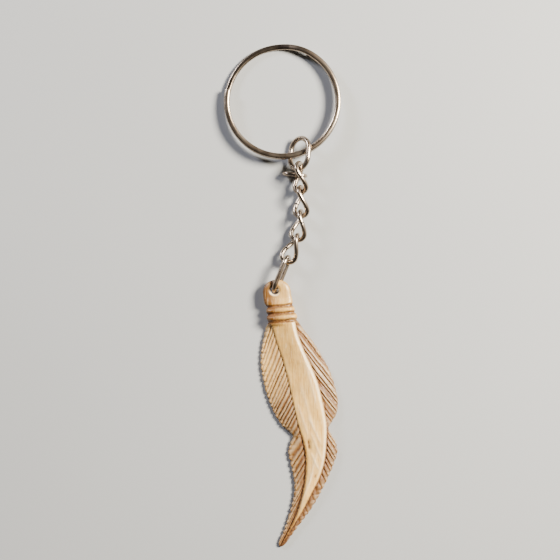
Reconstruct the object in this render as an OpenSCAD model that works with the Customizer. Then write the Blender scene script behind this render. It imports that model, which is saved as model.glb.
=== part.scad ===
// Keychain: a carved bone feather on a short twisted chain with a split key ring.
// It lies as it would on a table. The feather's flat back is on z = 0, +Y runs from the
// feather's neck to the key ring, and the origin is on the back, at the middle of the neck.

/* [Split ring] */
// Outer diameter of the key ring
ring_d = 30; // [24:0.5:40]
// Width of the ring's wire, measured across the ring
ring_wire_w = 1.45; // [1:0.05:1.8]
// Height of one coil of the ring's wire
ring_wire_h = 1.08; // [0.8:0.02:1.3]
// Gap between the ring's two coils
coil_gap = 0.06; // [0.04:0.01:0.1]

/* [Oval link on the ring] */
// Inner length of the oval link
oval_inner_l = 6.8; // [6.2:0.1:9]
// Wire diameter of the oval link
oval_wire = 1.3; // [1:0.05:1.6]

/* [Curb links] */
// Inner length of a curb link
curb_inner_l = 6.3; // [5.2:0.1:8]
// Inner width of a curb link
curb_inner_w = 2.6; // [2.4:0.1:3.4]
// Wire diameter of a curb link
curb_wire = 1.2; // [0.9:0.02:1.44]
// Twist from one end of a curb link to the other
curb_twist = 90; // [80:1:100]

/* [Jump ring] */
// Outer length of the flattened jump ring
jump_l = 6.5; // [5.5:0.1:8]
// Wire diameter of the jump ring
jump_wire = 1; // [0.8:0.05:1.1]

/* [End link on the feather] */
// Inner length of the end link
end_inner_l = 8.2; // [7.2:0.1:10]
// Inner width of the end link
end_inner_w = 2.8; // [2.4:0.1:3.4]
// Wire diameter of the end link
end_wire = 1.2; // [0.9:0.02:1.44]

/* [Feather] */
// Length of the feather's blade, from the neck to the tip
blade_l = 60; // [45:1:75]
// Width of the feather's blade across both vanes
blade_w = 20; // [16:0.5:26]
// Thickness of the blade at the top of its quill
quill_t = 4.2; // [3.4:0.1:5.5]
// Thickness of the vanes at their outer edge
edge_t = 1.1; // [0.8:0.1:1.6]
// Width of the neck and its head
neck_w = 7.4; // [6.5:0.1:9]
// Length of the head above the neck
head_l = 8.9; // [8:0.1:11]

/* [Fits] */
// Play between two wires that hook into each other
link_play = 0.14; // [0.1:0.02:0.3]
// Play between the oval link and the key ring's coils, above and below them
ring_play = 0.36; // [0.3:0.02:0.6]
// Play between the jump ring and the curb link's leg in it
jump_play = 0.25; // [0.2:0.05:0.5]
// Play between the end link and each face of the feather's head
head_play = 0.3; // [0.2:0.05:0.5]
// Play round the end link's wire in the feather's hole
hole_play = 0.55; // [0.5:0.05:0.8]

/* [Hidden] */
$fn = 96;

// Headings turn clockwise from +Y, slopes rise towards the key ring, rolls turn about the link
hole_at = [-1.6, 6.2];
end_heading = 22;
end_back = 0.22;
end_roll = 104;
curb_headings = [-4, -1.5, 8, 23];
curb_slopes = [8, 4, 0, 0];
curb_rolls = [30, 22, 15, 6];
oval_heading = 4;
oval_slope = -8;
oval_roll = 44;
oval_ease = 0.14;
ring_heading = -18;
jump_gap = 0.7;
jump_turn = -10;
jump_aside = 1.1;
jump_lift = 0.08;

wire_sides = 14;
wire_rings = 60;
ring_step = 4;
row_step = 1.2;

steel = [0.74, 0.72, 0.69];
bone = [0.88, 0.77, 0.58];

// ---- sizes that follow from the ones above ----

ring_r = (ring_d - ring_wire_w) / 2;
ring_stack = 2 * ring_wire_h + coil_gap;
oval_l = oval_inner_l + 2 * oval_wire;
oval_w = oval_wire + (ring_stack + oval_wire + 2 * ring_play) / sin(oval_roll);
curb_l = curb_inner_l + 2 * curb_wire;
curb_w = curb_inner_w + 2 * curb_wire;
jump_h = curb_wire + 2 * (jump_wire + jump_play);
end_l = end_inner_l + 2 * end_wire;
end_w = end_inner_w + 2 * end_wire;
head_t = end_inner_w - 2 * head_play;
hole_d = end_wire + 2 * hole_play;

// ---- places along the chain, worked from the hole to the key ring ----

function way(heading, slope) =
    [sin(heading) * cos(slope), cos(heading) * cos(slope), sin(slope)];

// Where the next link starts: its wire hooks inside the far end of the link before it, and
// lies back from that end against its own pull
function hook(start, along, length, wire, next_wire, pull, ease = 0) =
    start + along * (length - wire) - pull * ((wire + next_wire) / 2 + link_play + ease);

axis_z = max(end_w, curb_w) / 2;
end_way = way(end_heading, 0);
end_start = [hole_at.x, hole_at.y, axis_z] - end_back * end_way;

function curb_way(i) = way(curb_headings[i], curb_slopes[i]);
function curb_start(i) =
    i == 3 ? hook(end_start, end_way, end_l, end_wire, curb_wire, way(curb_headings[3], 0))
    : hook(curb_start(i + 1), curb_way(i + 1), curb_l, curb_wire, curb_wire,
        way(curb_headings[i], curb_slopes[i + 1]));

oval_way = way(oval_heading, oval_slope);
oval_start = hook(curb_start(0), curb_way(0), curb_l, curb_wire, oval_wire,
    way(oval_heading, curb_slopes[0]), oval_ease);
oval_middle = oval_start + oval_way * (oval_l - oval_wire) / 2;

// The key ring leans from the oval link down to the surface that its far side rests on
ring_slope = -asin((oval_middle.z - ring_stack / 2) / (2 * ring_r));
ring_middle = oval_middle + ring_r * way(ring_heading, ring_slope);

// The jump ring hangs on the lower leg of the first curb link, where that link stands on edge
jump_back = curb_wire / 2 + oval_wire + jump_wire / 2 + jump_gap;
jump_along = curb_l - curb_wire - jump_back;
jump_leg = link_point(curb_start(0), curb_headings[0], curb_slopes[0], curb_l - curb_wire,
    curb_w - curb_wire, curb_rolls[0], curb_twist, leg_share(jump_along));
jump_middle = jump_leg + [-jump_aside, 0, jump_lift];

// ---- wire loops ----

// A point on a long loop of length l and width w, both between wire middles; s runs 0 to 1
function loop_point(l, w, s) =
    let (r = w / 2, leg = l - w, round = PI * r, d = s * 2 * (leg + round))
    d < leg ? [r, r + d]
    : d < leg + round ? let (a = (d - leg) / r * 180 / PI) [r * cos(a), r + leg + r * sin(a)]
    : d < 2 * leg + round ? [-r, r + leg - (d - leg - round)]
    : let (a = (d - 2 * leg - round) / r * 180 / PI) [-r * cos(a), r - r * sin(a)];

// The share of the way round at which the second leg is this far along the link
function leg_share(along) =
    let (l = curb_l - curb_wire, w = curb_w - curb_wire, leg = l - w, round = PI * w / 2)
    (2 * leg + round - (along - w / 2)) / (2 * (leg + round));

function mix(a, b, t) = a + (b - a) * t;
function smooth(t) = let (c = min(1, max(0, t))) c * c * (3 - 2 * c);

// The loop's point in space, with its flat turned about its length from roll to roll + twist
function link_point(start, heading, slope, l, w, roll, twist, s) =
    let (p = loop_point(l, w, s), turn = roll + twist * smooth(p.y / l), along = way(heading, slope),
         side = [cos(heading), -sin(heading), 0], up = cross(side, along))
    start + along * p.y + p.x * (cos(turn) * side + sin(turn) * up);

function unit(v) = v / norm(v);

function wire_ring(before, here, after, middle, r) =
    let (t = unit(after - before), out = unit(cross(t, cross(here - middle, t))), over = cross(t, out))
    [for (i = [0:wire_sides - 1])
        let (a = 360 * i / wire_sides) here + r * (cos(a) * out + sin(a) * over)];

// Faces between rings of points. An open tube ends in two fans, round the two points listed
// after its rings: one for its first ring and one for its last.
function tube_faces(rings, sides, closed) = concat(
    [for (k = [0:rings - (closed ? 1 : 2)], i = [0:sides - 1], half = [0, 1])
        let (a = k * sides, b = ((k + 1) % rings) * sides, j = (i + 1) % sides)
        half == 0 ? [a + i, b + i, b + j] : [a + i, b + j, a + j]],
    closed ? [] : [for (i = [0:sides - 1], end = [0, 1])
        let (a = end * (rings - 1) * sides, j = (i + 1) % sides, tip = rings * sides + end)
        end == 0 ? [a + i, a + j, tip] : [a + j, a + i, tip]]);

module twisted_link(start, heading, slope, l, w, wire, roll, twist) {
    path = [for (k = [0:wire_rings - 1])
        link_point(start, heading, slope, l - wire, w - wire, roll, twist, k / wire_rings)];
    middle = start + way(heading, slope) * (l - wire) / 2;
    points = [for (k = [0:wire_rings - 1]) each wire_ring(path[(k + wire_rings - 1) % wire_rings],
        path[k], path[(k + 1) % wire_rings], middle, wire / 2)];
    polyhedron(points, tube_faces(wire_rings, wire_sides, true), convexity = 8);
}

// A flat oval of round wire: two straight legs and two half-round ends
module flat_link(l, w, wire) {
    r = (w - wire) / 2;
    leg = l - w;
    for (end = [0, 1])
        translate([0, r + end * leg, 0])
            rotate([0, 0, end * 180 + 180])
                rotate_extrude(angle = 180)
                    translate([r, 0])
                        circle(d = wire);
    for (side = [-1, 1])
        translate([side * r, r, 0])
            rotate([-90, 0, 0])
                cylinder(d = wire, h = leg);
}

module place_link(start, heading, slope, roll) {
    translate(start)
        rotate([0, 0, -heading])
            rotate([slope, 0, 0])
                rotate([0, -roll, 0])
                    children();
}

module curb_link(i) {
    color(steel)
        twisted_link(curb_start(i), curb_headings[i], curb_slopes[i], curb_l, curb_w, curb_wire,
            curb_rolls[i], curb_twist);
}

module oval_link() {
    color(steel)
        place_link(oval_start, oval_heading, oval_slope, oval_roll)
            flat_link(oval_l, oval_w, oval_wire);
}

module end_link() {
    color(steel)
        place_link(end_start, end_heading, 0, end_roll)
            flat_link(end_l, end_w, end_wire);
}

// It stands on its long side, with its flat across the chain
module jump_ring() {
    color(steel)
        translate(jump_middle)
            rotate([90, 0, -curb_headings[0] + jump_turn])
                rotate([0, 0, -90])
                    translate([0, -(jump_l - jump_wire) / 2, 0])
                        flat_link(jump_l, jump_h, jump_wire);
}

// ---- split ring ----

// The wire starts under the step, runs once round below, steps up and runs round above
ring_from = 60;
step_from = -260;
step_to = -295;
ring_to = -553;
corner = 0.36;
corner_points = 3;

function coil_z(a) =
    (ring_wire_h + coil_gap) * (smooth((step_from - a) / (step_from - step_to)) - 0.5);

function ring_point(a, p) = [(ring_r + p.x) * cos(a), (ring_r + p.x) * sin(a), coil_z(a) + p.y];

// A flattened wire: a rectangle whose corners are rounded
function ring_section() =
    [for (q = [0:3], k = [0:corner_points - 1])
        let (a = q * 90 + k * 90 / (corner_points - 1),
             sx = (q == 0 || q == 3) ? 1 : -1, sz = q < 2 ? 1 : -1)
        [sx * (ring_wire_w / 2 - corner) + corner * cos(a),
         sz * (ring_wire_h / 2 - corner) + corner * sin(a)]];

module split_ring() {
    section = ring_section();
    turns = ceil((ring_from - ring_to) / ring_step);
    points = concat(
        [for (k = [0:turns], p = section) ring_point(mix(ring_from, ring_to, k / turns), p)],
        [for (a = [ring_from, ring_to]) ring_point(a, [0, 0])]);
    color(steel)
        translate(ring_middle)
            rotate([0, 0, -ring_heading])
                rotate([ring_slope, 0, 0])
                    rotate([0, 0, ring_heading])
                        polyhedron(points, tube_faces(turns + 1, len(section), false), convexity = 8);
}

// ---- feather ----

// Outlines run down the blade: [distance below the origin, place across], for a 60 by 20 blade
left_edge = [[1.5, -3.6], [2.5, -3.4], [4, -4.1], [7, -4.8], [12, -5.35], [18, -4.5], [24, -2.6],
             [28.5, -0.1], [30.2, 1.9], [31.5, 3.1], [33, 2.6], [35.7, 1.9], [39, 2.6], [44, 3.35],
             [48, 2.9], [54.4, 1.1], [58.4, -0.3], [60, -0.3]];
right_edge = [[1.5, 4.1], [2.5, 4.7], [4, 5.9], [7, 8.2], [10.6, 10.4], [14.7, 12.6], [18.5, 13.9],
              [22, 14.65], [25.5, 14.55], [27.8, 13.1], [29.3, 12.2], [30.4, 12.4], [32.5, 13.9],
              [35, 14.6], [37.5, 14.1], [43, 11.8], [49.4, 8.35], [55.5, 3.9], [60, 0.2]];
quill_left = [[1.5, -3.1], [4, -2.1], [7.5, -1.1], [12, 0.45], [18, 2], [27.5, 4.1], [32.3, 5.4],
              [37, 6.2], [42.3, 5.95], [46.8, 5.15], [52.6, 3.3], [60, -0.1]];
quill_right = [[1.5, 3.5], [4, 4.1], [6, 4.7], [10, 6.3], [14.6, 8.4], [18.5, 9.8], [27.5, 11.7],
               [33, 11.8], [38, 11.25], [42.3, 9.9], [46.5, 7.8], [51.2, 5.4], [55.8, 2.5], [60, 0.1]];

function slope_at(points, i) =
    let (n = len(points) - 1, a = points[max(0, i - 1)], b = points[min(n, i + 1)])
    (b.y - a.y) / (b.x - a.x);

// A smooth curve through the points, read at distance d
function along_curve(points, d, i = 0) =
    (i < len(points) - 2 && d > points[i + 1].x) ? along_curve(points, d, i + 1)
    : let (a = points[i], b = points[i + 1], h = b.x - a.x, t = min(1, max(0, (d - a.x) / h)),
           sa = slope_at(points, i) * h, sb = slope_at(points, i + 1) * h)
      a.y * (1 + 2 * t) * (1 - t) * (1 - t) + sa * t * (1 - t) * (1 - t)
      + b.y * t * t * (3 - 2 * t) - sb * t * t * (1 - t);

// The head is a round top over a slimmer waist, which has two beads. Its middle leans.
head_lean = 0.2;
head_shift = 0.25;
waist_w = 0.87 * neck_w;
waist_y = 2;
waist_rise = 3.2;
bead_pitch = 1.9;
bead_rise = 0.3;

function head_middle(y) = head_shift - head_lean * max(0, min(y, hole_at.y));
function cap_share(y) =
    y > hole_at.y ? sqrt(max(0, 1 - pow((y - hole_at.y) / (head_l - hole_at.y), 2))) : 1;
function bead(y) = abs(y) < waist_y ? bead_rise * abs(sin(90 * (waist_y - y) / bead_pitch)) : 0;
function head_half(y) =
    mix(waist_w, neck_w, smooth((y - waist_y) / waist_rise)) / 2 * cap_share(y) + bead(y);

// Below the neck the head's shape gives way to the blade's
blend_from = 1.5;
blend_to = -3;
function blade_share(y) = smooth((blend_from - y) / (blend_from - blend_to));

// The outlines are drawn for a blade of this length and width, and stretch with it
drawn_l = 60;
drawn_w = 20;
function across(points, y) = along_curve(points, -y * drawn_l / blade_l) * blade_w / drawn_w;

// Heights: the head is a tongue at the end link's level, the blade has a flat back. The quill
// thins towards the tip, and the vanes rise from their edges to the foot of the quill.
tip_t = 1.2;
thin_power = 1.6;
tongue_from = 1.6;
tongue_rise = 2.8;
tongue_lift = 2.6;
vane_rise = 1.3;
vane_share = 0.72;
edge_share = 0.8;
wall_share = 0.35;
cap_thin = 0.6;
back_from = 2;
back_rise = 1.5;
round_power = 0.8;
crown_power = 0.7;
top_gap = 0.15;
tip_gap = 0.4;

function quill_z(y) = mix(quill_t, tip_t, pow(max(0, -y) / blade_l, thin_power));
function neck_t(y) = mix(quill_t + 2 * bead(y), head_t, smooth((y - tongue_from) / tongue_rise));
function low_z(y) = mix(0, axis_z - head_t / 2, smooth((y - tongue_from) / tongue_lift));

quill_cols = 6;
vane_cols = 2;
last_col = quill_cols + 2 * vane_cols;

function head_x(y, c) = head_middle(y) - head_half(y) * cos(180 * c / last_col);
function blade_x(y, c) =
    let (l = across(left_edge, y), a = across(quill_left, y), b = across(quill_right, y),
         r = across(right_edge, y))
    c <= vane_cols ? mix(l, a, c / vane_cols)
    : c <= vane_cols + quill_cols ? mix(a, b, (c - vane_cols) / quill_cols)
    : mix(b, r, (c - vane_cols - quill_cols) / vane_cols);

function blade_z(y, c) =
    let (high = quill_z(y), vane_high = min(high * vane_share, edge_t + vane_rise),
         u = (c - vane_cols) / quill_cols, thin = min(edge_t, high * edge_share))
    c < vane_cols ? mix(thin, vane_high, c / vane_cols)
    : c > vane_cols + quill_cols ? mix(vane_high, thin, (c - vane_cols - quill_cols) / vane_cols)
    : vane_high + (high - vane_high) * pow(sin(180 * u), crown_power);

// Half the head's thickness at a column: an upright wall at the outline, rounded to the middle
function head_swell(y, c) =
    neck_t(y) / 2 * mix(wall_share, 1, pow(sin(180 * c / last_col), round_power))
    * mix(cap_thin, 1, cap_share(y));

function row_point(y, c, top) =
    let (w = blade_share(y), half_t = neck_t(y) / 2, mid = low_z(y) + half_t,
         back = mix(head_swell(y, c), half_t, smooth((back_from - y) / back_rise)))
    [mix(head_x(y, c), blade_x(y, c), w),
     y,
     top ? mix(mid + head_swell(y, c), blade_z(y, c), w) : mix(mid - back, 0, w)];

rows = ceil((head_l + blade_l) / row_step);
function row_y(k) = mix(head_l - top_gap, tip_gap - blade_l, k / rows);
function row_ring(k) = concat(
    [for (c = [0:last_col]) row_point(row_y(k), c, false)],
    [for (c = [last_col:-1:0]) row_point(row_y(k), c, true)]);

module feather() {
    points = concat([for (k = [0:rows]) each row_ring(k)],
        [[head_middle(head_l), head_l, axis_z], [0, -blade_l, tip_t / 2]]);
    color(bone)
        difference() {
            polyhedron(points, tube_faces(rows + 1, 2 * (last_col + 1), false), convexity = 10);
            translate([hole_at.x, hole_at.y, -1])
                cylinder(d = hole_d, h = 2 * axis_z + 2);
        }
}

split_ring();
oval_link();
jump_ring();
curb_link(0);  // curb_link_1
curb_link(1);  // curb_link_2
curb_link(2);  // curb_link_3
curb_link(3);  // curb_link_4
end_link();
feather();
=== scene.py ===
"""A keychain: a carved bone feather, an end link, four twisted curb links with a jump ring, an
oval link and a split ring.

Sizes are in millimetres in each section and become metres when a mesh is made. +Y runs from
the feather's neck to the key ring, and the feather's flat back lies on z = 0.
"""
import math
import bmesh
import bpy
import numpy as np
from mathutils import Matrix, Vector, noise


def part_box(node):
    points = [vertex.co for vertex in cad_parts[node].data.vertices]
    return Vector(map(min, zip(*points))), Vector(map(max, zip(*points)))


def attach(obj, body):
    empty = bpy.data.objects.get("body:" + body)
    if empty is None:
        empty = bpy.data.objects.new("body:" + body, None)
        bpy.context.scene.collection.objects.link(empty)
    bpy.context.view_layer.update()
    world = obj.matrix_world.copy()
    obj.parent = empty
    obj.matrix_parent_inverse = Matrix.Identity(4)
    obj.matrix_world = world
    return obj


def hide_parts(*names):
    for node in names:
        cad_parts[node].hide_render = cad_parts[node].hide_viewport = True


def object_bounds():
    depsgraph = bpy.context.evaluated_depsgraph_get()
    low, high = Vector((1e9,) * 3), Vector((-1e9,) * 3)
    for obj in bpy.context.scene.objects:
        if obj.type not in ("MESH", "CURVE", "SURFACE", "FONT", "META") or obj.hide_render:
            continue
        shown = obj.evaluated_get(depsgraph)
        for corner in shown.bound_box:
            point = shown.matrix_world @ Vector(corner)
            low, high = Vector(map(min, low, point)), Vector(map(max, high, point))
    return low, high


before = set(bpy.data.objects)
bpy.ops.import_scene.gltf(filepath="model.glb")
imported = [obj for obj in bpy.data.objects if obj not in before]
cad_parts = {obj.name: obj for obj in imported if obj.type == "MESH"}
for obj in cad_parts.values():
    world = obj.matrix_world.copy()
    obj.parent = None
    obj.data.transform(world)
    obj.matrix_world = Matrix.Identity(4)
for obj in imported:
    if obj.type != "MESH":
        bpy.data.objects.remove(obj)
cad_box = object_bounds()

# ------------------------------------------------------------------------------ feather
# The pendant is a feather sawn from a slip of bone about 4 mm thick, with a flat back. Its
# barbs, neck grooves and edge nicks are cut by hand, stained brown and rubbed back to cream.
MM = 0.001
BLADE_L = 60.0
HEAD_TOP = 8.9
HEAD_T = 2.2
HEAD_MID_Z = 2.6
QUILL_T = 4.2
TIP_T = 1.2
EDGE_T = 1.1
VANE_RISE = 1.3
VANE_SHARE = 0.72
CREST_W = 1.0
CREST_SLOPE = 0.5
HOLE_AT = (-1.6, 6.2)
HOLE_R = 1.1
CAP_FROM = 5.5
CAP_MIDDLE = -1.1
CAP_HALF = 3.57
CAP_POWER = 2.2

# Outlines run down the feather: (distance below the neck's middle, place across)
LEFT_EDGE = [(-5.5, -4.67), (-4.4, -4.58), (-3.1, -4.36), (-2.35, -4.0), (-1.78, -3.52),
             (-1.3, -3.76), (-0.8, -3.88), (-0.3, -3.68), (0.1, -3.42), (0.55, -3.62),
             (1.0, -3.68), (1.55, -3.52), (2.0, -3.32), (2.5, -3.5), (4, -4.1), (7, -4.8),
             (12, -5.35), (18, -4.5), (24, -2.6), (28.5, -0.1), (30.2, 1.9), (31.3, 2.95),
             (32.2, 2.85), (33, 2.4), (35.7, 1.75), (39, 2.45), (44, 3.3), (48, 2.9), (54.4, 1.1),
             (58.4, -0.5), (60, -0.8)]
RIGHT_EDGE = [(-5.5, 2.47), (-4.5, 2.68), (-3.75, 2.86), (-2.95, 2.97), (-2.45, 2.84),
              (-2.0, 3.2), (-1.5, 3.47), (-0.95, 3.5), (-0.55, 3.42), (-0.15, 3.84),
              (0.35, 4.08), (0.95, 4.06), (1.4, 3.94), (1.8, 4.32), (2.5, 4.8), (4, 5.9),
              (7, 8.2), (10.6, 10.4), (14.7, 12.6), (18.5, 13.9), (22, 14.65), (25.5, 14.4),
              (27.8, 13.1), (29.2, 12.25), (30.2, 12.45), (32.5, 13.9), (35, 14.6),
              (37.5, 14.1), (43, 11.8), (49.4, 8.35), (55.5, 3.9), (60, 0.6)]
QUILL_LEFT = [(1.5, -3.1), (4, -2.1), (7.5, -1.1), (12, 0.45), (18, 2), (27.5, 4.1),
              (32.3, 5.4), (37, 6.2), (42.3, 5.95), (46.8, 5.15), (52.6, 3.3), (60, -0.25)]
QUILL_RIGHT = [(1.5, 3.5), (4, 4.1), (6, 4.7), (10, 6.3), (14.6, 8.4), (18.5, 9.8),
               (27.5, 11.7), (33, 11.8), (38, 11.25), (42.3, 9.9), (46.5, 7.8), (51.2, 5.4),
               (55.8, 2.5), (60, 0.05)]
# Rows of the mesh: the head's round top and the round tip have rows set by angle
CAP_ROWS, TIP_ROWS = 44, 10
TOP_GAP, TIP_GAP = 0.02, 0.06
ROW_STEP = 0.145
TIP_CAP = 0.9
LEFT_COLS, QUILL_COLS, RIGHT_COLS = 46, 34, 50


def curve(points, d):
    """A smooth curve through the points, read at the distances d."""
    x, v = np.array(points, float).T
    slope = np.empty(len(x))
    slope[1:-1] = (v[2:] - v[:-2]) / (x[2:] - x[:-2])
    slope[0] = (v[1] - v[0]) / (x[1] - x[0])
    slope[-1] = (v[-1] - v[-2]) / (x[-1] - x[-2])
    i = np.clip(np.searchsorted(x, d, side="right") - 1, 0, len(x) - 2)
    h = x[i + 1] - x[i]
    t = np.clip((d - x[i]) / h, 0, 1)
    return (v[i] * (1 + 2 * t) * (1 - t) ** 2 + slope[i] * h * t * (1 - t) ** 2
            + v[i + 1] * t * t * (3 - 2 * t) - slope[i + 1] * h * t * t * (1 - t))


def smooth(t):
    t = np.clip(t, 0, 1)
    return t * t * (3 - 2 * t)


def mix(a, b, t):
    return a + (b - a) * t


def bump(x, width):
    """A soft hump of height 1 at x = 0."""
    return np.exp(-(x / width) ** 2)


def rounded(t):
    """Rises from 0 to 1 along a quarter circle."""
    return np.sqrt(np.clip(1 - (1 - np.clip(t, 0, 1)) ** 2, 0, 1))


def wander(x, y, size, seed):
    """Slow noise between about -1 and 1, whose blots are this many millimetres across."""
    flat = [noise.noise((a / size, b / size, seed)) for a, b in zip(x.ravel(), y.ravel())]
    return np.array(flat).reshape(x.shape) * 1.6


# Rows of the mesh, from the top of the head to the tip, and the bare outline on each
cap_angle = np.linspace(TOP_GAP, math.pi / 2, CAP_ROWS, endpoint=False)
cap_y = CAP_FROM + (HEAD_TOP - CAP_FROM) * np.cos(cap_angle) ** (2 / CAP_POWER)
row_count = int((CAP_FROM + BLADE_L - TIP_CAP) / ROW_STEP)
long_y = np.linspace(CAP_FROM, TIP_CAP - BLADE_L, row_count)
tip_angle = np.linspace(0, math.pi / 2 - TIP_GAP, TIP_ROWS)[1:]
tip_y = TIP_CAP - BLADE_L - TIP_CAP * np.sin(tip_angle)
row_y = np.concatenate([cap_y, long_y, tip_y])


def outline(y, edge, side):
    x = curve(edge, -y)
    cap = CAP_MIDDLE + side * CAP_HALF * np.clip(
        1 - np.clip((y - CAP_FROM) / (HEAD_TOP - CAP_FROM), 0, 1) ** CAP_POWER, 0, 1
    ) ** (1 / CAP_POWER)
    return np.where(y > CAP_FROM, cap, x)


# Nicks filed along the outer edges leave small round lobes. Each run of them has its top and
# its low end along the feather, its spacing along the edge and its depth.
NICKS = {
    "left": [(-3.4, -30.6, 1.47, 0.26), (-32.6, -58.6, 1.5, 0.3)],
    "right": [(-3.6, -28.6, 1.9, 0.15), (-30.4, -58.4, 1.62, 0.3)],
}
left_x = outline(row_y, LEFT_EDGE, -1)
right_x = outline(row_y, RIGHT_EDGE, 1)
quill_l = curve(QUILL_LEFT, -row_y)
quill_r = curve(QUILL_RIGHT, -row_y)
nick_rng = np.random.default_rng(11)
NICK_FADE = 1.2
NICK_SHARP = 0.75


def nick_rows(x, runs):
    """How deep each row's edge is nicked, from 0 to 1, and its depth in millimetres."""
    length = np.concatenate([[0], np.cumsum(np.hypot(np.diff(x), np.diff(row_y)))])
    share, depth = np.zeros(len(x)), np.zeros(len(x))
    for top, low, pitch, deep in runs:
        run = smooth((top - row_y) / NICK_FADE) * smooth((row_y - low) / NICK_FADE)
        turn = length / pitch + 0.12 * np.sin(length * 0.9) + 0.07 * np.sin(length * 2.3)
        vary = nick_rng.uniform(0.65, 1.25, 400)[np.floor(turn + 0.5).astype(int) % 400]
        cut = (1 - np.abs(np.sin(math.pi * turn)) ** NICK_SHARP) * run
        share = np.maximum(share, cut)
        depth = np.maximum(depth, cut * deep * vary)
    return share, depth


left_nick, left_depth = nick_rows(left_x, NICKS["left"])
right_nick, right_depth = nick_rows(right_x, NICKS["right"])
past_tip = np.clip(TIP_CAP - BLADE_L - row_y, 0, TIP_CAP)
tip_share = np.sqrt(np.clip(1 - (past_tip / TIP_CAP) ** 2, 0, 1))
tip_mid = (left_x + right_x) / 2
left_x = tip_mid + (left_x + left_depth - tip_mid) * tip_share
right_x = tip_mid + (right_x - right_depth - tip_mid) * tip_share

# Columns: one strip each for the left vane, the quill and the right vane. Above the neck the
# quill's strip keeps a middle share of the head's width.
HEAD_SHARES = (0.3, 0.7)
THINNEST = 0.08
in_blade = smooth((1.5 - row_y) / 3)
quill_a = mix(mix(left_x, right_x, HEAD_SHARES[0]), tip_mid + (quill_l - tip_mid) * tip_share,
              in_blade)
quill_b = mix(mix(left_x, right_x, HEAD_SHARES[1]), tip_mid + (quill_r - tip_mid) * tip_share,
              in_blade)
quill_a = np.clip(quill_a, left_x + THINNEST, right_x - 2.5 * THINNEST)
quill_b = np.clip(quill_b, quill_a + THINNEST, right_x - THINNEST)


def crowded(n):
    """n steps from 0 to 1, closer together at both ends."""
    t = np.arange(n) / n
    return 0.5 * t + 0.25 * (1 - np.cos(math.pi * t))


left_t, quill_t, right_t = crowded(LEFT_COLS), crowded(QUILL_COLS), crowded(RIGHT_COLS)
X = np.hstack([
    mix(left_x[:, None], quill_a[:, None], left_t[None]),
    mix(quill_a[:, None], quill_b[:, None], quill_t[None]),
    mix(quill_b[:, None], right_x[:, None], np.append(right_t, 1)[None]),
])
Y = np.repeat(row_y[:, None], X.shape[1], axis=1)
ROWS, COLS = X.shape

# The hole: cells inside it go, and the points round it move on to its circle
hole_dx, hole_dy = X - HOLE_AT[0], Y - HOLE_AT[1]
cell_dx = (hole_dx[:-1, :-1] + hole_dx[1:, 1:]) / 2
cell_dy = (hole_dy[:-1, :-1] + hole_dy[1:, 1:]) / 2
in_hole = np.hypot(cell_dx, cell_dy) < HOLE_R
near_cut = np.zeros((ROWS, COLS), bool)
near_kept = np.zeros((ROWS, COLS), bool)
for dk in (0, 1):
    for dc in (0, 1):
        near_cut[dk:ROWS - 1 + dk, dc:COLS - 1 + dc] |= in_hole
        near_kept[dk:ROWS - 1 + dk, dc:COLS - 1 + dc] |= ~in_hole
hole_edge = near_cut & near_kept
reach = np.hypot(hole_dx, hole_dy)
X = np.where(hole_edge, HOLE_AT[0] + hole_dx / reach * HOLE_R, X)
Y = np.where(hole_edge, HOLE_AT[1] + hole_dy / reach * HOLE_R, Y)
hole_gap = np.hypot(X - HOLE_AT[0], Y - HOLE_AT[1]) - HOLE_R

# Each point's distance to the nicked outline, worked out from the rows near its own
NEAR_ROWS = 26
edge_gap = np.empty((ROWS, COLS))
for k in range(ROWS):
    near = slice(max(0, k - NEAR_ROWS), k + NEAR_ROWS + 1)
    ex = np.concatenate([left_x[near], right_x[near]])
    ey = np.concatenate([row_y[near], row_y[near]])
    edge_gap[k] = np.hypot(X[k][:, None] - ex[None], Y[k][:, None] - ey[None]).min(axis=1)

# Heights of the smooth shapes under the cuts. The quill thins towards the tip, and the vanes
# rise from their edges to the foot of the quill.
THIN_POWER = 1.6
EDGE_SHARE = 0.8
VANE_POWER = 0.8
EDGE_DROP, EDGE_ROUND = 0.4, 0.45
down = np.clip(-Y, 0, BLADE_L)
high = mix(QUILL_T, TIP_T, (down / BLADE_L) ** THIN_POWER)
vane_high = np.minimum(high * VANE_SHARE, EDGE_T + VANE_RISE)
edge_high = np.minimum(EDGE_T, high * EDGE_SHARE)
tilt = Y - 0.1 * X
A, B = quill_a[:, None], quill_b[:, None]
L, R = left_x[:, None], right_x[:, None]
t_left = np.clip((X - L) / (A - L), 0, 1)
t_right = np.clip((R - X) / (R - B), 0, 1)
u = np.clip((X - A) / (B - A), 0, 1)
on_quill = (X > A) & (X < B)
on_left = X <= A
on_right = X >= B
vane = np.where(on_left, mix(edge_high, vane_high, t_left ** VANE_POWER),
                mix(edge_high, vane_high, t_right ** VANE_POWER))
quill_w = B - A
# The quill is a slope up to a crest on its right, and a round ridge in the lower blade
low_blade = smooth((down - 34) / 14)
slope_up = 0.26 + 0.74 * smooth(u / 0.86)
ridge_up = 0.7 + 0.3 * np.sin(math.pi * np.clip(u, 0, 1)) ** 0.7
crown = mix(slope_up, ridge_up, low_blade)
step_l = rounded(u * quill_w / mix(2.0, 1.2, low_blade))
step_r = rounded((1 - u) * quill_w / mix(0.4, 0.9, low_blade))
crest = np.clip(CREST_W - (1 - u) * quill_w, 0, CREST_W) * CREST_SLOPE * (1 - 0.6 * low_blade)
quill = vane_high + (high - vane_high - crest) * crown * step_l * step_r
blade_z = np.where(on_quill, quill, vane)
blade_z -= EDGE_DROP * edge_high * (1 - rounded(edge_gap / EDGE_ROUND))

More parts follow.
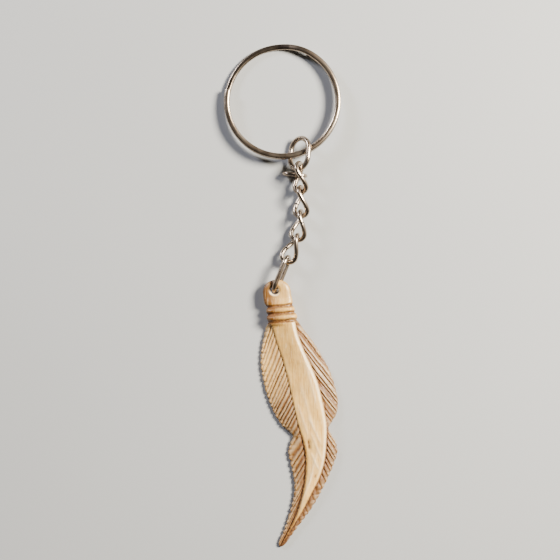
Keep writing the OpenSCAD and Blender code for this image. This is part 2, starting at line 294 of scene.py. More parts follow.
# Above the neck the feather becomes a tongue with a rounded rim, lifted to the height of its
# hole. At the very edge it keeps WALL_SHARE of its thickness.
TONGUE_FROM, TONGUE_RISE, TONGUE_LIFT = 1.6, 2.8, 2.6
NECK_RIM, HEAD_RIM = 2.1, 1.15
WALL_SHARE = 0.35
to_head = smooth((Y - TONGUE_FROM) / TONGUE_RISE)
neck_t = mix(QUILL_T, HEAD_T, to_head)
low_z = mix(0, HEAD_MID_Z - HEAD_T / 2, smooth((Y - TONGUE_FROM) / TONGUE_LIFT))
mid_z = low_z + neck_t / 2
rim = mix(NECK_RIM, HEAD_RIM, to_head)
swell = WALL_SHARE + (1 - WALL_SHARE) * rounded(edge_gap / rim)
across = np.clip((X - (L + R) / 2) / ((R - L) / 2), -1, 1)
neck_z = mid_z + neck_t / 2 * swell - 0.1 * across ** 2
under_z = mid_z - neck_t / 2 * mix(swell, 1, smooth((2 - Y) / 1.5))
blade_share = smooth((-1.5 - tilt) / 1.7)
top_z = mix(neck_z, blade_z, blade_share)
bottom_z = mix(under_z, 0, blade_share)

# Grooves round the neck leave two round beads between them
NECK_GROOVES = (2.16, 0.24, -1.74)
GROOVE_HALF, GROOVE_DEEP = 0.42, 0.42
NECK_BEADS = (1.2, -0.75)
BEAD_HALF, BEAD_RISE = 0.62, 0.22
hand = 0.07 * wander(X, Y, 1.6, 3.1)
neck_cut = np.zeros_like(X)
for at in NECK_GROOVES:
    neck_cut = np.maximum(neck_cut, np.exp(-np.abs((tilt + hand - at) / GROOVE_HALF) ** 4))
beads = sum(bump(tilt - at, BEAD_HALF) for at in NECK_BEADS)
top_z += BEAD_RISE * beads * (1 - neck_cut) - GROOVE_DEEP * neck_cut * mix(1, 0.7, to_head)

# Barbs: straight cuts that spring from the quill's edges and fan out over each vane. Each
# set has its side, its first and last place, the cuts' angle from the feather's length at
# both, their spacing along the quill, their depth and its seed.
ROOT_TRIES = 14
CUT_ROUND = 0.012
CUT_POWER = 1.3
BARBS = [
    ("left", -2.6, -31.2, 19, 31, 1.42, 0.62, 5),
    ("left", -31.2, -61.0, 33, 22, 1.9, 0.7, 6),
    ("right", -2.6, -29.2, 38, 38, 3.3, 0.62, 8),
    ("right", -29.2, -61.0, 34, 22, 1.6, 0.5, 9),
]
slow = wander(X, Y, 6.0, 7.3)
quick = wander(X, Y, 1.7, 9.2)
barb_cut = np.zeros_like(X)
barb_stain = np.zeros_like(X)
ridge_rub = np.zeros_like(X)
for side, top, low, angle_top, angle_low, spacing, depth, seed in BARBS:
    sign, edge = (-1, QUILL_LEFT) if side == "left" else (1, QUILL_RIGHT)
    here = (on_left if side == "left" else on_right) & (Y <= top) & (Y > low)
    root = -Y
    for _ in range(ROOT_TRIES):
        lean = np.radians(mix(angle_top, angle_low, np.clip((root + top) / (top - low), 0, 1)))
        root = mix(root, -Y - sign * (X - curve(edge, root)) / np.tan(lean), 0.7)
    uneven = 0.42 * wander(root, 0 * root + seed, 2.8, 2.2)
    turn = root / spacing + uneven + 0.1 * slow + 0.05 * quick
    rng = np.random.default_rng(seed)
    nearest = np.floor(turn + 0.5).astype(int) % 300
    deep = rng.uniform(0.55, 1.1, 300)[nearest]
    dark = rng.uniform(0.4, 1.0, 300)[nearest]
    ridge = rng.uniform(-0.5, 0.5, 300)[np.floor(turn).astype(int) % 300]
    wave = np.sqrt(np.sin(math.pi * turn) ** 2 + CUT_ROUND)
    cut = np.clip(1 - wave, 0, 1) ** CUT_POWER
    t = t_left if side == "left" else t_right
    width = (A - L) if side == "left" else (R - B)
    fade = (smooth(edge_gap / 0.9) * 0.6 + 0.4) * (0.85 + 0.3 * slow)
    low_fade = 0.35 if side == "left" else 0.55
    room = smooth(width * np.ones_like(X) / 1.2) * (1 - low_fade * smooth((down - 38) / 8))
    starts = smooth((top - Y) / 1.0)
    barb_cut = np.where(here, depth * (cut * deep + 0.12 * ridge * wave) * fade * room * starts,
                        barb_cut)
    stain_in = 0.35 + 0.65 * smooth(t * 1.5)
    barb_stain = np.where(here, cut ** 0.6 * dark * stain_in * room * starts, barb_stain)
    ridge_rub = np.where(here, wave ** 2 * starts, ridge_rub)
top_z -= barb_cut * blade_share

# The lobes' nicks run a little way in over the top of the edge
NICK_REACH, NICK_DEEP = 0.8, 0.14
nick_in = np.where(on_left, left_nick[:, None], right_nick[:, None]) * bump(edge_gap, NICK_REACH)
top_z -= NICK_DEEP * nick_in * blade_share

# A shallow cut along each side of the quill, widest and darkest on the left below the waist
SIDE_DEEP = 0.24
below_waist = smooth((down - 26) / 6)
low_right = smooth((down - 38) / 8)
deep_l = mix(0.5, 0.9, below_waist)
half_l = mix(0.34, 0.55, smooth((down - 28) / 8))
gap_l = np.abs(X - A)
gap_r = np.abs(X - B)
gap_r = np.where(on_right, gap_r * (1 - 0.6 * low_right), gap_r)
side_cut = np.maximum(bump(gap_l, half_l) * deep_l, bump(gap_r, 0.4) * 0.9)
side_cut *= blade_share * smooth((down - 2.0) / 2.5)
top_z -= SIDE_DEEP * side_cut * np.minimum(1, high / 3)

# The carver's knife left low ridges between long flats on the quill, and two short gouges
# near its waist
KNIFE_LINES = [
    # from, to, width, height
    ((5.2, -8.5), (9.6, -25.0), 0.5, 0.12),
    ((4.7, -17.0), (8.6, -30.5), 0.45, 0.1),
    ((3.9, -22.0), (7.4, -32.5), 0.4, 0.12),
    ((6.6, -25.5), (10.6, -34.0), 0.45, 0.16),
    ((7.3, -29.5), (10.9, -38.5), 0.4, 0.15),
    ((7.4, -35.0), (9.9, -40.5), 0.4, 0.14),
    ((9.6, -33.5), (6.6, -46.0), 0.45, 0.14),
    ((8.6, -39.5), (3.6, -52.5), 0.4, 0.12),
]
GOUGES = [
    # from, to, width, depth, darkness
    ((7.0, -31.6), (7.35, -35.2), 0.4, 0.26, 0.9),
    ((8.9, -40.8), (8.7, -42.3), 0.25, 0.14, 0.7),
]


def along_line(start, end):
    """Distance from the line through start and end, and how far along it, from 0 to 1."""
    (x0, y0), (x1, y1) = start, end
    size = math.hypot(x1 - x0, y1 - y0)
    tx, ty = (x1 - x0) / size, (y1 - y0) / size
    share = ((X - x0) * tx + (Y - y0) * ty) / size
    return (X - x0) * ty - (Y - y0) * tx, share


knife = np.zeros_like(X)
for start, end, width, height in KNIFE_LINES:
    off, share = along_line(start, end)
    ends = smooth(share / 0.25) * smooth((1 - share) / 0.25)
    knife += height * np.exp(-np.abs(off) / width * 1.6) * ends
gouge = np.zeros_like(X)
gouge_stain = np.zeros_like(X)
for start, end, width, deep, dark in GOUGES:
    off, share = along_line(start, end)
    ends = smooth(share / 0.4) * smooth((1 - share) / 0.3) * ((share > 0) & (share < 1))
    gouge += deep * bump(off, width) * ends
    gouge_stain += dark * bump(off - 0.1, width * 0.7) * ends
quill_only = on_quill * blade_share * smooth(u * quill_w / 0.8) * smooth((1 - u) * quill_w / 0.8)
top_z += (knife - gouge) * quill_only

# The end link has worn a channel from the hole to the top edge, and rubbed the hole's rim
CHANNEL = ((-1.9, 6.2), (-2.5, 9.4))
CHANNEL_HALF, CHANNEL_DEEP = 0.6, 0.28
RIM_HALF, RIM_DEEP = 0.3, 0.24
off, share = along_line(*CHANNEL)
channel = bump(off, CHANNEL_HALF) * smooth(share * 3) * (Y > 5.4)
rim_worn = bump(hole_gap, RIM_HALF)
top_z -= CHANNEL_DEEP * channel * to_head + RIM_DEEP * rim_worn * to_head
bottom_z += RIM_DEEP * rim_worn * to_head

# Hand finishing leaves the faces slightly uneven
WAVY, LUMPY = 0.035, 0.018
top_z += (WAVY * wander(X, Y, 3.5, 1.7) + LUMPY * wander(X, Y, 0.9, 5.9)) * smooth(edge_gap)

# Brown patches where stain is left near the lower right edge
PATCHES = [((7.7, -49.2), 0.75), ((5.7, -51.8), 0.8), ((9.9, -45.0), 0.6)]
patches = sum(bump(np.hypot(X - at[0], (Y - at[1]) * 0.7), size) for at, size in PATCHES)

# Below the waist the stain also fills the feet of both vanes
left_band = np.where(on_left, 0.62 * t_left ** 1.3, 0)
right_band = np.where(on_right, 0.6 * smooth(t_right * 1.3), 0)
band = smooth((down - 31) / 5) * blade_share * left_band + smooth((down - 31) / 8) * right_band
band = band * (0.85 + 0.35 * quick)

# How stained, smoked and rubbed each point is for the colours, and where pale highlights are
# painted on the quill
stain = np.maximum.reduce([
    barb_stain * blade_share * 0.9,
    neck_cut ** 0.35 * (0.7 + 0.08 * quick),
    side_cut * mix(0.62, 0.92, below_waist),
    band,
    0.6 * np.clip(patches, 0, 1) * on_right,
    gouge_stain * quill_only,
    channel * to_head * (0.55 + 0.45 * (off < 0)),
    nick_in * 0.4,
])
vane_smoke = np.where(on_left, 0.42 + 0.4 * smooth((down - 12) / 16) + 0.15 * t_left,
                      0.92 + 0.2 * t_right) + 0.1 * quick
vane_smoke = vane_smoke + 0.1 * smooth((down - 31) / 6)
quill_smoke = (0.26 * (1 - smooth((down - 4) / 18)) + 0.1 * (1 - u) + 0.05 * slow
               + 0.4 * smooth((down - 46) / 10))
head_smoke = 0.32 + 0.72 * smooth((0.4 - X - 0.3 * (Y - 4)) / 4.2)
smoke = mix(head_smoke, np.where(on_quill, quill_smoke, vane_smoke), blade_share)
# The pale line along the quill's crest and the pale streaks on its knife ridges are painted
# highlights; the paler ridges between the barbs and the hole's rim are rubbed wear
crest_highlight = bump((1 - u) * quill_w - 0.55, 0.32) * on_quill * blade_share * (1 - low_blade)
rub_and_highlight = np.maximum.reduce([ridge_rub * 0.35 * blade_share, crest_highlight * 1.4,
                         knife * quill_only * 4.5,
                         bump(hole_gap - 0.15, 0.2) * smooth((HOLE_AT[1] - Y) / 0.8)])

# The skin of the mesh: the top, a rounded side wall, the back, and the hole's wall. Below the
# neck the back is flat, so each row needs only its two ends there.
EDGE_INSET, FOOT_INSET = 0.1, 0.12
WALL_AT = 0.45
BACK_TO = -3.4
verts, faces, marks = [], [], []


def put(x, y, z, s=0.0, m=0.0, r=0.0):
    verts.append((x * MM, y * MM, max(z, 0.0) * MM))
    marks.append((s, m, r))
    return len(verts) - 1


top_id = np.empty((ROWS, COLS), int)
for k in range(ROWS):
    for c in range(COLS):
        x = X[k, c]
        if c in (0, COLS - 1):
            x += (EDGE_INSET if c == 0 else -EDGE_INSET) * tip_share[k]
        top_id[k, c] = put(x, Y[k, c], top_z[k, c], stain[k, c], smoke[k, c], rub_and_highlight[k, c])
wall_id = np.empty((ROWS, 2), int)
foot_id = np.empty((ROWS, 2), int)
for k in range(ROWS):
    for side, c, inset in ((0, 0, FOOT_INSET), (1, COLS - 1, -FOOT_INSET)):
        wall_z = mix(bottom_z[k, c], top_z[k, c], WALL_AT)
        wall_id[k, side] = put(X[k, c], Y[k, c], wall_z, stain[k, c] * 0.8, smoke[k, c] + 0.1)
        foot_id[k, side] = put(X[k, c] + inset * tip_share[k], Y[k, c], bottom_z[k, c],
                               0.15, smoke[k, c] + 0.1)
back_rows = int(np.argmax(row_y < BACK_TO)) + 1
back_id = np.empty((back_rows, COLS), int)
for k in range(back_rows):
    back_id[k, 0], back_id[k, -1] = foot_id[k]
    for c in range(1, COLS - 1):
        back_id[k, c] = put(X[k, c], Y[k, c], bottom_z[k, c], 0.3 * channel[k, c], 0.25)
for k in range(ROWS - 1):
    for c in range(COLS - 1):
        if not in_hole[k, c]:
            faces.append((top_id[k, c], top_id[k + 1, c], top_id[k + 1, c + 1],
                          top_id[k, c + 1]))
            if k < back_rows - 1:
                faces.append((back_id[k, c], back_id[k, c + 1], back_id[k + 1, c + 1],
                              back_id[k + 1, c]))
    for side, c in ((0, 0), (1, COLS - 1)):
        faces.append((top_id[k, c], wall_id[k, side], wall_id[k + 1, side], top_id[k + 1, c]))
        faces.append((wall_id[k, side], foot_id[k, side], foot_id[k + 1, side],
                      wall_id[k + 1, side]))
    if k >= back_rows:
        faces.append((foot_id[k, 0], foot_id[k, 1], foot_id[k + 1, 1], foot_id[k + 1, 0]))
last = back_rows - 1
faces.append((*back_id[last], foot_id[last + 1, 1], foot_id[last + 1, 0]))
faces.append((wall_id[0, 0], *top_id[0], wall_id[0, 1], *back_id[0][::-1]))
faces.append((wall_id[-1, 0], *top_id[-1], wall_id[-1, 1], foot_id[-1, 1], foot_id[-1, 0]))
for k in range(ROWS - 1):
    for c in range(COLS - 1):
        for k2, c2, p, q in ((k, c - 1, (k, c), (k + 1, c)),
                             (k, c + 1, (k, c + 1), (k + 1, c + 1)),
                             (k - 1, c, (k, c), (k, c + 1)),
                             (k + 1, c, (k + 1, c), (k + 1, c + 1))):
            if in_hole[k, c] and not in_hole[k2, c2]:
                faces.append((top_id[p], top_id[q], back_id[q], back_id[p]))


def make_object(name, points, polygons, sharp):
    """A mesh object with outward faces, smooth but for edges over this many degrees."""
    mesh = bpy.data.meshes.new(name)
    mesh.from_pydata(points, [], polygons)
    work = bmesh.new()
    work.from_mesh(mesh)
    bmesh.ops.recalc_face_normals(work, faces=work.faces)
    work.to_mesh(mesh)
    work.free()
    mesh.shade_smooth()
    mesh.set_sharp_from_angle(angle=math.radians(sharp))
    made = bpy.data.objects.new(name, mesh)
    bpy.context.scene.collection.objects.link(made)
    return made


def add_mark(mesh, name, values):
    mark = mesh.attributes.new(name, "FLOAT", "POINT")
    mark.data.foreach_set("value", np.asarray(values, np.float32))


feather = make_object("carved_feather", verts, [tuple(map(int, f)) for f in faces], sharp=55)
for place, name in enumerate(("stain", "smoke", "rub_and_highlight")):
    add_mark(feather.data, name, [m[place] for m in marks])


def linear(code):
    """An sRGB hex colour as linear RGBA."""
    parts = [int(code[i:i + 2], 16) / 255 for i in (1, 3, 5)]
    return (*[p / 12.92 if p <= 0.04045 else ((p + 0.055) / 1.055) ** 2.4 for p in parts], 1)


def add(tree, kind, inputs=None, **settings):
    """Adds a node with its settings, its inputs' values and the links into them."""
    made = tree.nodes.new(kind)
    for key, value in settings.items():
        setattr(made, key, value)
    for key, value in (inputs or {}).items():
        if isinstance(value, bpy.types.NodeSocket):
            tree.links.new(value, made.inputs[key])
        else:
            made.inputs[key].default_value = value
    return made


def per_metre(size_mm):
    """The texture scale that gives features of this size."""
    return 1 / (size_mm * MM)


def new_material(name):
    made = bpy.data.materials.new(name)
    made.use_nodes = True
    made.node_tree.nodes.clear()
    return made, made.node_tree


# Bone, carved, stained and hand polished: cream with amber clouds, brown in every cut, fine
# long grain with small dark pores, and a soft wax shine that the cuts lose. Pale painted highlights
# run along the quill's crest and its knife ridges.
bone, tree = new_material("carved_stained_bone")
place = add(tree, "ShaderNodeTexCoord").outputs["Object"]
marks_in = {n: add(tree, "ShaderNodeAttribute", attribute_name=n).outputs["Fac"]
            for n in ("stain", "smoke", "rub_and_highlight")}
CLOUD_MM, GRAIN_MM, SPECK_MM, PORE_MM, SCRATCH_MM = 7.0, 0.42, 0.55, 1.9, 0.34
cloud = add(tree, "ShaderNodeTexNoise", {"Vector": place, "Scale": per_metre(CLOUD_MM),
                                         "Detail": 4.0, "Roughness": 0.55}).outputs["Fac"]
grain_place = add(tree, "ShaderNodeMapping", {"Vector": place, "Rotation": (0, 0, 0.22),
                                              "Scale": (1, 0.07, 1)}).outputs["Vector"]
grain = add(tree, "ShaderNodeTexNoise", {"Vector": grain_place, "Scale": per_metre(GRAIN_MM),
                                         "Detail": 5.0, "Roughness": 0.6}).outputs["Fac"]
speck = add(tree, "ShaderNodeTexNoise", {"Vector": place, "Scale": per_metre(SPECK_MM),
                                         "Detail": 4.0, "Roughness": 0.65}).outputs["Fac"]
scratch_place = add(tree, "ShaderNodeMapping", {"Vector": place, "Rotation": (0, 0, -0.5),
                                                "Scale": (1, 0.08, 1)}).outputs["Vector"]
scratch = add(tree, "ShaderNodeTexNoise", {"Vector": scratch_place,
                                           "Scale": per_metre(SCRATCH_MM), "Detail": 3.0,
                                           "Roughness": 0.7}).outputs["Fac"]
pore_cells = add(tree, "ShaderNodeTexVoronoi", {"Vector": place, "Scale": per_metre(PORE_MM)})
pore_near = add(tree, "ShaderNodeMapRange", {"Value": pore_cells.outputs["Distance"],
                                             "From Min": 0.1, "From Max": 0.055}).outputs[0]
pore_pick = add(tree, "ShaderNodeSeparateColor", {"Color": pore_cells.outputs["Color"]}).outputs[0]
pore_some = add(tree, "ShaderNodeMath", {0: pore_pick, 1: 0.6},
                operation="GREATER_THAN").outputs[0]
pores = add(tree, "ShaderNodeMath", {0: pore_near, 1: pore_some}, operation="MULTIPLY").outputs[0]

cream = add(tree, "ShaderNodeMix", {0: cloud, 6: linear("#E8AE48"), 7: linear("#FCD98C")},
            data_type="RGBA").outputs[2]
grain_dark = add(tree, "ShaderNodeMapRange", {"Value": grain, "From Min": 0.44, "From Max": 0.72,
                                              "To Min": 0.0, "To Max": 0.6}).outputs[0]
grained = add(tree, "ShaderNodeMix", {0: grain_dark, 6: cream, 7: linear("#A86C22")},
              data_type="RGBA").outputs[2]
cloud_turn = add(tree, "ShaderNodeMapRange", {"Value": cloud, "From Min": 0.3, "From Max": 0.7,
                                              "To Min": -0.18, "To Max": 0.22}).outputs[0]
smoky = add(tree, "ShaderNodeMath", {0: marks_in["smoke"], 1: cloud_turn}, operation="ADD",
            use_clamp=True).outputs[0]
ambered = add(tree, "ShaderNodeMix", {0: smoky, 6: grained, 7: linear("#684003")},
              data_type="RGBA").outputs[2]
streak = add(tree, "ShaderNodeMapRange", {"Value": scratch, "From Min": 0.54, "From Max": 0.7,
                                          "To Min": 0.0, "To Max": 0.26}).outputs[0]
# Pale where the bone is rubbed, and pale painted highlights on the quill's crest and knife ridges
rub_and_highlight_share = add(tree, "ShaderNodeMath", {0: marks_in["rub_and_highlight"], 1: 0.7, 2: streak},
                operation="MULTIPLY_ADD", use_clamp=True).outputs[0]
rubbed_and_highlit = add(tree, "ShaderNodeMix", {0: rub_and_highlight_share, 6: ambered, 7: linear("#FBE6BE")},
             data_type="RGBA").outputs[2]
break_up = add(tree, "ShaderNodeMapRange", {"Value": speck, "From Min": 0.3, "From Max": 0.62,
                                            "To Min": 0.55, "To Max": 1.12}).outputs[0]
stained = add(tree, "ShaderNodeMath", {0: marks_in["stain"], 1: break_up}, operation="MULTIPLY",
              use_clamp=True).outputs[0]
deepest = add(tree, "ShaderNodeMapRange", {"Value": stained, "From Min": 0.55,
                                           "From Max": 1.0}).outputs[0]
brown = add(tree, "ShaderNodeMix", {0: deepest, 6: linear("#693E0A"), 7: linear("#351C08")},
            data_type="RGBA").outputs[2]
stain_share = add(tree, "ShaderNodeMapRange", {"Value": stained, "From Min": 0.05,
                                               "From Max": 0.7}).outputs[0]
browned = add(tree, "ShaderNodeMix", {0: stain_share, 6: rubbed_and_highlit, 7: brown},
              data_type="RGBA").outputs[2]
bone_colour = add(tree, "ShaderNodeMix", {0: pores, 6: browned, 7: linear("#4F2F1B")},
                  data_type="RGBA").outputs[2]
shine = add(tree, "ShaderNodeMapRange", {"Value": speck, "From Min": 0.3, "From Max": 0.7,
                                         "To Min": 0.26, "To Max": 0.38}).outputs[0]
cut_rough = add(tree, "ShaderNodeMath", {0: stained, 1: 0.25, 2: shine},
                operation="MULTIPLY_ADD").outputs[0]
rough = add(tree, "ShaderNodeMath", {0: smoky, 1: 0.16, 2: cut_rough}, operation="MULTIPLY_ADD",
            use_clamp=True).outputs[0]
pitted = add(tree, "ShaderNodeMath", {0: pores, 1: -1.0, 2: grain},
             operation="MULTIPLY_ADD").outputs[0]
grain_bump = add(tree, "ShaderNodeBump", {"Height": pitted, "Strength": 0.7,
                                          "Distance": 0.07 * MM}).outputs[0]
scratch_bump = add(tree, "ShaderNodeBump", {"Height": scratch, "Strength": 0.7,
                                            "Distance": 0.06 * MM, "Normal": grain_bump}).outputs[0]
skin = add(tree, "ShaderNodeBsdfPrincipled", {
    "Base Color": bone_colour, "Roughness": rough, "Normal": scratch_bump, "IOR": 1.54,
    "Subsurface Weight": 0.06, "Subsurface Radius": (1.0, 0.7, 0.4),
    "Subsurface Scale": 0.9 * MM, "Coat Weight": 0.12, "Coat Roughness": 0.22})
add(tree, "ShaderNodeOutputMaterial", {"Surface": skin.outputs[0]})
feather.data.materials.append(bone)
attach(feather, "feather")
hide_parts("feather")

# ---------------------------------------------------------------------- links of the chain
# Every link is a length of drawn steel wire bent round a former until its ends meet in a butt
# joint, then nickel plated. The curb links are also given a quarter twist, so they lie flat.
SEAM_GAP = 0.05
SEAM_DIRT, DIRT_REACH = 0.7, 0.09
END_ROUND, END_REACH = 0.1, 0.1
WIRE_SIDES = 26
WIRE_SHARP = 50
RING_STEP = 0.11
LINKS = [
    # node, outer length, outer width, wire, heading, slope, roll, twist, place of the joint
    ("end_link", 10.6, 5.2, 1.2, 22, 0, 104, 0, 0.3),
    ("curb_link_4", 8.7, 5.0, 1.2, 23, 0, 6, 90, 0.62),
    ("curb_link_3", 8.7, 5.0, 1.2, 8, 0, 15, 90, 0.13),
    ("curb_link_2", 8.7, 5.0, 1.2, -1.5, 4, 22, 90, 0.63),
    ("curb_link_1", 8.7, 5.0, 1.2, -4, 8, 30, 90, 0.12),
    ("oval_link", 9.4, 7.4, 1.3, 4, -8, 44, 0, 0.7),
]


def loop_path(length, width, count, joint):
    """Points round a long loop with half-round ends, from its joint round to it again."""
    r, leg = width / 2, length - width
    turn = math.pi * r
    whole = 2 * (leg + turn)
    d = ((joint + np.linspace(0, 1, count)) % 1) * whole
    a1, a2 = (d - leg) / r, (d - 2 * leg - turn) / r
    x = np.select([d < leg, d < leg + turn, d < 2 * leg + turn],
                  [r + 0 * d, r * np.cos(a1), -r + 0 * d], -r * np.cos(a2))
    y = np.select([d < leg, d < leg + turn, d < 2 * leg + turn],
                  [r + d, r + leg + r * np.sin(a1), r + leg - (d - leg - turn)],
                  r - r * np.sin(a2))
    return x, y


def link_path(length, width, wire, heading, slope, roll, twist, joint):
    """The middle of a link's wire, with its flat turned about its length as it goes."""
    h, s = math.radians(heading), math.radians(slope)
    along = np.array([math.sin(h) * math.cos(s), math.cos(h) * math.cos(s), math.sin(s)])
    side = np.array([math.cos(h), -math.sin(h), 0])
    up = np.cross(side, along)
    whole = 2 * (length - width) + math.pi * (width - wire)
    x, y = loop_path(length - wire, width - wire, int(whole / RING_STEP), joint)
    turn = np.radians(roll + twist * smooth(y / (length - wire)))
    return (y[:, None] * along + (x * np.cos(turn))[:, None] * side
            + (x * np.sin(turn))[:, None] * up)


def sweep_wire(path, wire):
    """Skins a wire along an almost closed path. Its two cut ends are slightly rounded over."""
    ahead = np.gradient(path, axis=0)
    ahead /= np.linalg.norm(ahead, axis=1)[:, None]
    run = np.concatenate([[0], np.cumsum(np.linalg.norm(np.diff(path, axis=0), axis=1))])
    to_end = np.minimum(run, run[-1] - run)
    radius = wire / 2 * (1 - END_ROUND + END_ROUND * rounded(to_end / END_REACH))
    out = np.cross(ahead[0], [0.3, 0.2, 1.0])
    points = []
    angles = np.arange(WIRE_SIDES) / WIRE_SIDES * 2 * math.pi
    for at, t, r in zip(path, ahead, radius):
        out = out - t * out.dot(t)
        out /= np.linalg.norm(out)
        over = np.cross(t, out)
        for a in angles:
            points.append(at + r * (math.cos(a) * out + math.sin(a) * over))
    rings = len(path)
    polygons = [(k * WIRE_SIDES + i, k * WIRE_SIDES + (i + 1) % WIRE_SIDES,
                 (k + 1) * WIRE_SIDES + (i + 1) % WIRE_SIDES, (k + 1) * WIRE_SIDES + i)
                for k in range(rings - 1) for i in range(WIRE_SIDES)]
    polygons += [tuple(range(WIRE_SIDES)),
                 tuple(range((rings - 1) * WIRE_SIDES, rings * WIRE_SIDES))]
    grime_and_shade = np.repeat(SEAM_DIRT * np.exp(-to_end / DIRT_REACH), WIRE_SIDES)
    return np.array(points), polygons, grime_and_shade


def settle(points, node):
    """Moves the points so that their box has the same middle as the CAD node's."""
    low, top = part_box(node)
    middle = np.array((low + top) / 2) / MM
    return points + middle - (points.min(axis=0) + points.max(axis=0)) / 2


# Nickel-plated steel wire, plated bright and then handled: a slightly blurred warm grey
# mirror, with browner patches that are partly tarnish and partly a painted warm reflection,
# a little dirt in the joints, and painted shade where the split ring's coils face each other
plated, tree = new_material("bright_nickel_plated_steel")
place = add(tree, "ShaderNodeTexCoord").outputs["Object"]
dirt_and_shade_in = add(tree, "ShaderNodeAttribute", attribute_name="grime_and_shade").outputs["Fac"]
PATCH_MM, RUB_MM, RIPPLE_MM = 6.0, 2.0, 0.8
patch = add(tree, "ShaderNodeTexNoise", {"Vector": place, "Scale": per_metre(PATCH_MM),
                                         "Detail": 2.0, "Roughness": 0.5}).outputs["Fac"]
rub_spots = add(tree, "ShaderNodeTexNoise", {"Vector": place, "Scale": per_metre(RUB_MM),
                                             "Detail": 1.0, "Roughness": 0.5}).outputs["Fac"]
ripple = add(tree, "ShaderNodeTexNoise", {"Vector": place, "Scale": per_metre(RIPPLE_MM),
                                          "Detail": 2.0}).outputs["Fac"]
# The browner patches are partly tarnish and partly a painted warm reflection of the room
tarnish_and_reflection = add(tree, "ShaderNodeMapRange", {"Value": patch, "From Min": 0.42, "From Max": 0.75,
                                           "To Min": 0.0, "To Max": 0.5}).outputs[0]
clean = add(tree, "ShaderNodeMix", {0: tarnish_and_reflection, 6: linear("#B3A595"), 7: linear("#7D6044")},
            data_type="RGBA").outputs[2]
# Dark joints are dirt; on the split ring this also paints shade where its two coils face each other
dirt_and_shade = add(tree, "ShaderNodeMath", {0: dirt_and_shade_in, 1: 0.85}, operation="MULTIPLY",
           use_clamp=True).outputs[0]
metal_colour = add(tree, "ShaderNodeMix", {0: dirt_and_shade, 6: clean, 7: linear("#2B241E")},
                   data_type="RGBA").outputs[2]
metal_rough = add(tree, "ShaderNodeMapRange", {"Value": rub_spots, "From Min": 0.3,
                                               "From Max": 0.75, "To Min": 0.25,
                                               "To Max": 0.31}).outputs[0]
ripple_bump = add(tree, "ShaderNodeBump", {"Height": ripple, "Strength": 0.02,
                                           "Distance": 0.01 * MM}).outputs[0]
wire_skin = add(tree, "ShaderNodeBsdfPrincipled", {
    "Base Color": metal_colour, "Metallic": 1.0, "Roughness": metal_rough,
    "Normal": ripple_bump})
add(tree, "ShaderNodeOutputMaterial", {"Surface": wire_skin.outputs[0]})


def finish_wire(name, node, points, polygons, grime_and_shade):
    piece = make_object(name, [tuple(p) for p in points * MM], polygons, sharp=WIRE_SHARP)
    add_mark(piece.data, "grime_and_shade", grime_and_shade)
    piece.data.materials.append(plated)
    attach(piece, node)
    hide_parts(node)


for node, length, width, wire, heading, slope, roll, twist, joint in LINKS:
    path = link_path(length, width, wire, heading, slope, roll, twist, joint)
    gap_steps = SEAM_GAP / RING_STEP
    path[0] += (path[1] - path[0]) * gap_steps / 2
    path[-1] += (path[-2] - path[-1]) * gap_steps / 2
    points, polygons, grime_and_shade = sweep_wire(path, wire)
    finish_wire("wire_" + node, node, settle(points, node), polygons, grime_and_shade)

# ----------------------------------------------------------------------------- jump ring
# A small flattened ring of thinner wire that once held a tag. It hangs on a leg of the first
# curb link with its flat across the chain, closed by the same kind of butt joint.
JUMP_L, JUMP_W, JUMP_WIRE, JUMP_HEADING, JUMP_JOINT = 6.5, 3.7, 1.0, -6, 0.9
jump_whole = 2 * (JUMP_L - JUMP_W) + math.pi * (JUMP_W - JUMP_WIRE)
jx, jy = loop_path(JUMP_L - JUMP_WIRE, JUMP_W - JUMP_WIRE, int(jump_whole / RING_STEP), JUMP_JOINT)
jh = math.radians(JUMP_HEADING)
jump_path = np.stack([jy * math.cos(jh), jy * math.sin(jh), -jx], axis=1)
points, polygons, grime_and_shade = sweep_wire(jump_path, JUMP_WIRE)
finish_wire("wire_jump_ring", "jump_ring", settle(points, "jump_ring"), polygons, grime_and_shade)

# ---------------------------------------------------------------------------- split ring
# The key ring is a little under two turns of flattened spring wire that lie on each other. The
# wire steps up just before it meets its own first end, and its cut ends are barely rounded.
RING_R, RING_W, RING_H, COIL_GAP, RING_HEADING = 14.275, 1.45, 1.08, 0.06, -18
RING_FROM, RING_TO, STEP_FROM, STEP_TO = 60, -553, -260, -295
RING_TURN_STEP = 1.25
ROUND_POWER = 2.6
SECTION_POINTS = 32
END_DIRT_REACH, INSIDE_SHADE = 0.3, 0.75
section = []
for k in range(SECTION_POINTS):
    round_a = 2 * math.pi * k / SECTION_POINTS
    ca, sa = math.cos(round_a), math.sin(round_a)
    section.append((math.copysign(abs(ca) ** (2 / ROUND_POWER), ca) * RING_W / 2,
                    math.copysign(abs(sa) ** (2 / ROUND_POWER), sa) * RING_H / 2))
ring_turns = int((RING_FROM - RING_TO) / RING_TURN_STEP)
ring_angles = np.linspace(RING_FROM, RING_TO, ring_turns + 1)
ring_points, ring_grime_and_shade = [], []
for a in ring_angles:
    stepped = float(smooth((STEP_FROM - a) / (STEP_FROM - STEP_TO)))
    lift = (RING_H + COIL_GAP) * (stepped - 0.5)
    to_end = min(RING_FROM - a, a - RING_TO) * math.pi / 180 * RING_R
    trim = 1 - END_ROUND * math.exp(-to_end / END_REACH)
    for px, pz in section:
        r = RING_R + px * trim
        ring_points.append((r * math.cos(math.radians(a)), r * math.sin(math.radians(a)),
                            lift + pz * trim))
        # The faces where the two coils meet are darkened: painted shade between the coils
        coil_shade = abs(pz) / (RING_H / 2) * (1 if pz * lift < 0 else 0)
        ring_grime_and_shade.append(max(math.exp(-to_end / END_DIRT_REACH), INSIDE_SHADE * coil_shade))
n = SECTION_POINTS
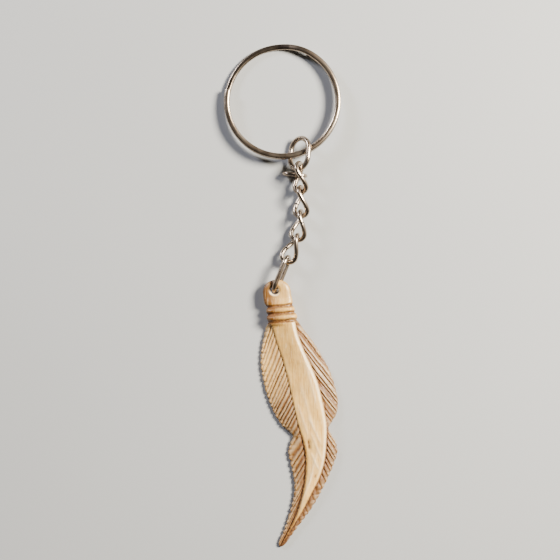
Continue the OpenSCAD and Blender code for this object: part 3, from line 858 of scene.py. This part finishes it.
ring_faces = [(k * n + i, k * n + (i + 1) % n, (k + 1) * n + (i + 1) % n, (k + 1) * n + i)
              for k in range(ring_turns) for i in range(n)]
ring_faces += [tuple(range(n)), tuple(range(ring_turns * n, (ring_turns + 1) * n))]
low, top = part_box("split_ring")
stack = 2 * RING_H + COIL_GAP
lean = -math.asin(((low.z + top.z) / 2 / MM - stack / 2) / RING_R)
turn_back = Matrix.Rotation(math.radians(RING_HEADING), 3, "Z")
tip_over = Matrix.Rotation(lean, 3, "X")
turn_to = Matrix.Rotation(math.radians(-RING_HEADING), 3, "Z")
pose = np.array(turn_to @ tip_over @ turn_back)
ring_points = np.array(ring_points) @ pose.T
finish_wire("wire_split_ring", "split_ring", settle(ring_points, "split_ring"), ring_faces,
            ring_grime_and_shade)

# --------------------------------------------------------------------- floor, light, camera
# The keychain lies on a plain pale tabletop under one large soft light from the upper right
# and a weaker, lower one from the upper left. The camera looks straight down.
FLOOR_HALF = 1.2
MOTTLE_MM = 90
low, top = cad_box
floor_corners = [(x * FLOOR_HALF, y * FLOOR_HALF, low.z)
                 for x, y in ((-1, -1), (1, -1), (1, 1), (-1, 1))]
floor = make_object("floor", floor_corners, [(0, 1, 2, 3)], sharp=30)
board, tree = new_material("matt_laminate_tabletop")
place = add(tree, "ShaderNodeTexCoord").outputs["Object"]
mottle = add(tree, "ShaderNodeTexNoise", {"Vector": place, "Scale": per_metre(MOTTLE_MM),
                                          "Detail": 2.0}).outputs["Fac"]
board_colour = add(tree, "ShaderNodeMix", {0: mottle, 6: linear("#9EA2A6"), 7: linear("#A6AAAD")},
                   data_type="RGBA").outputs[2]
board_skin = add(tree, "ShaderNodeBsdfPrincipled", {"Base Color": board_colour, "Roughness": 0.6})
add(tree, "ShaderNodeOutputMaterial", {"Surface": board_skin.outputs[0]})
floor.data.materials.append(board)

middle = (low + top) / 2


def soft_light(name, offset, size, watts, colour):
    data = bpy.data.lights.new(name, "AREA")
    data.shape, data.size, data.energy = "DISK", size, watts
    data.color = linear(colour)[:3]
    lamp = bpy.data.objects.new(name, data)
    bpy.context.scene.collection.objects.link(lamp)
    lamp.location = middle + Vector(offset)
    lamp.rotation_euler = (middle - lamp.location).to_track_quat("-Z", "Y").to_euler()


soft_light("key_light", (0.34, 0.16, 0.36), 0.18, 13.0, "#FFF4E2")
soft_light("fill_light", (-0.38, 0.36, 0.26), 0.14, 3.2, "#F6F5FF")
world = bpy.data.worlds.new("studio")
bpy.context.scene.world = world
world.use_nodes = True
surround = world.node_tree.nodes["Background"]
surround.inputs["Color"].default_value = linear("#9A8F84")
surround.inputs["Strength"].default_value = 0.1

# FIELD is the width seen at the tabletop
CAMERA_HEIGHT = 0.35
FIELD = 0.1448
AIM = Vector((-0.0006, 0.004, 0))
lens = bpy.data.cameras.new("camera")
lens.sensor_width = 36
lens.lens = lens.sensor_width * CAMERA_HEIGHT / FIELD
lens.clip_start, lens.clip_end = 0.01, 10
camera = bpy.data.objects.new("camera", lens)
bpy.context.scene.collection.objects.link(camera)
camera.location = Vector((middle.x, middle.y, CAMERA_HEIGHT)) + AIM
bpy.context.scene.camera = camera
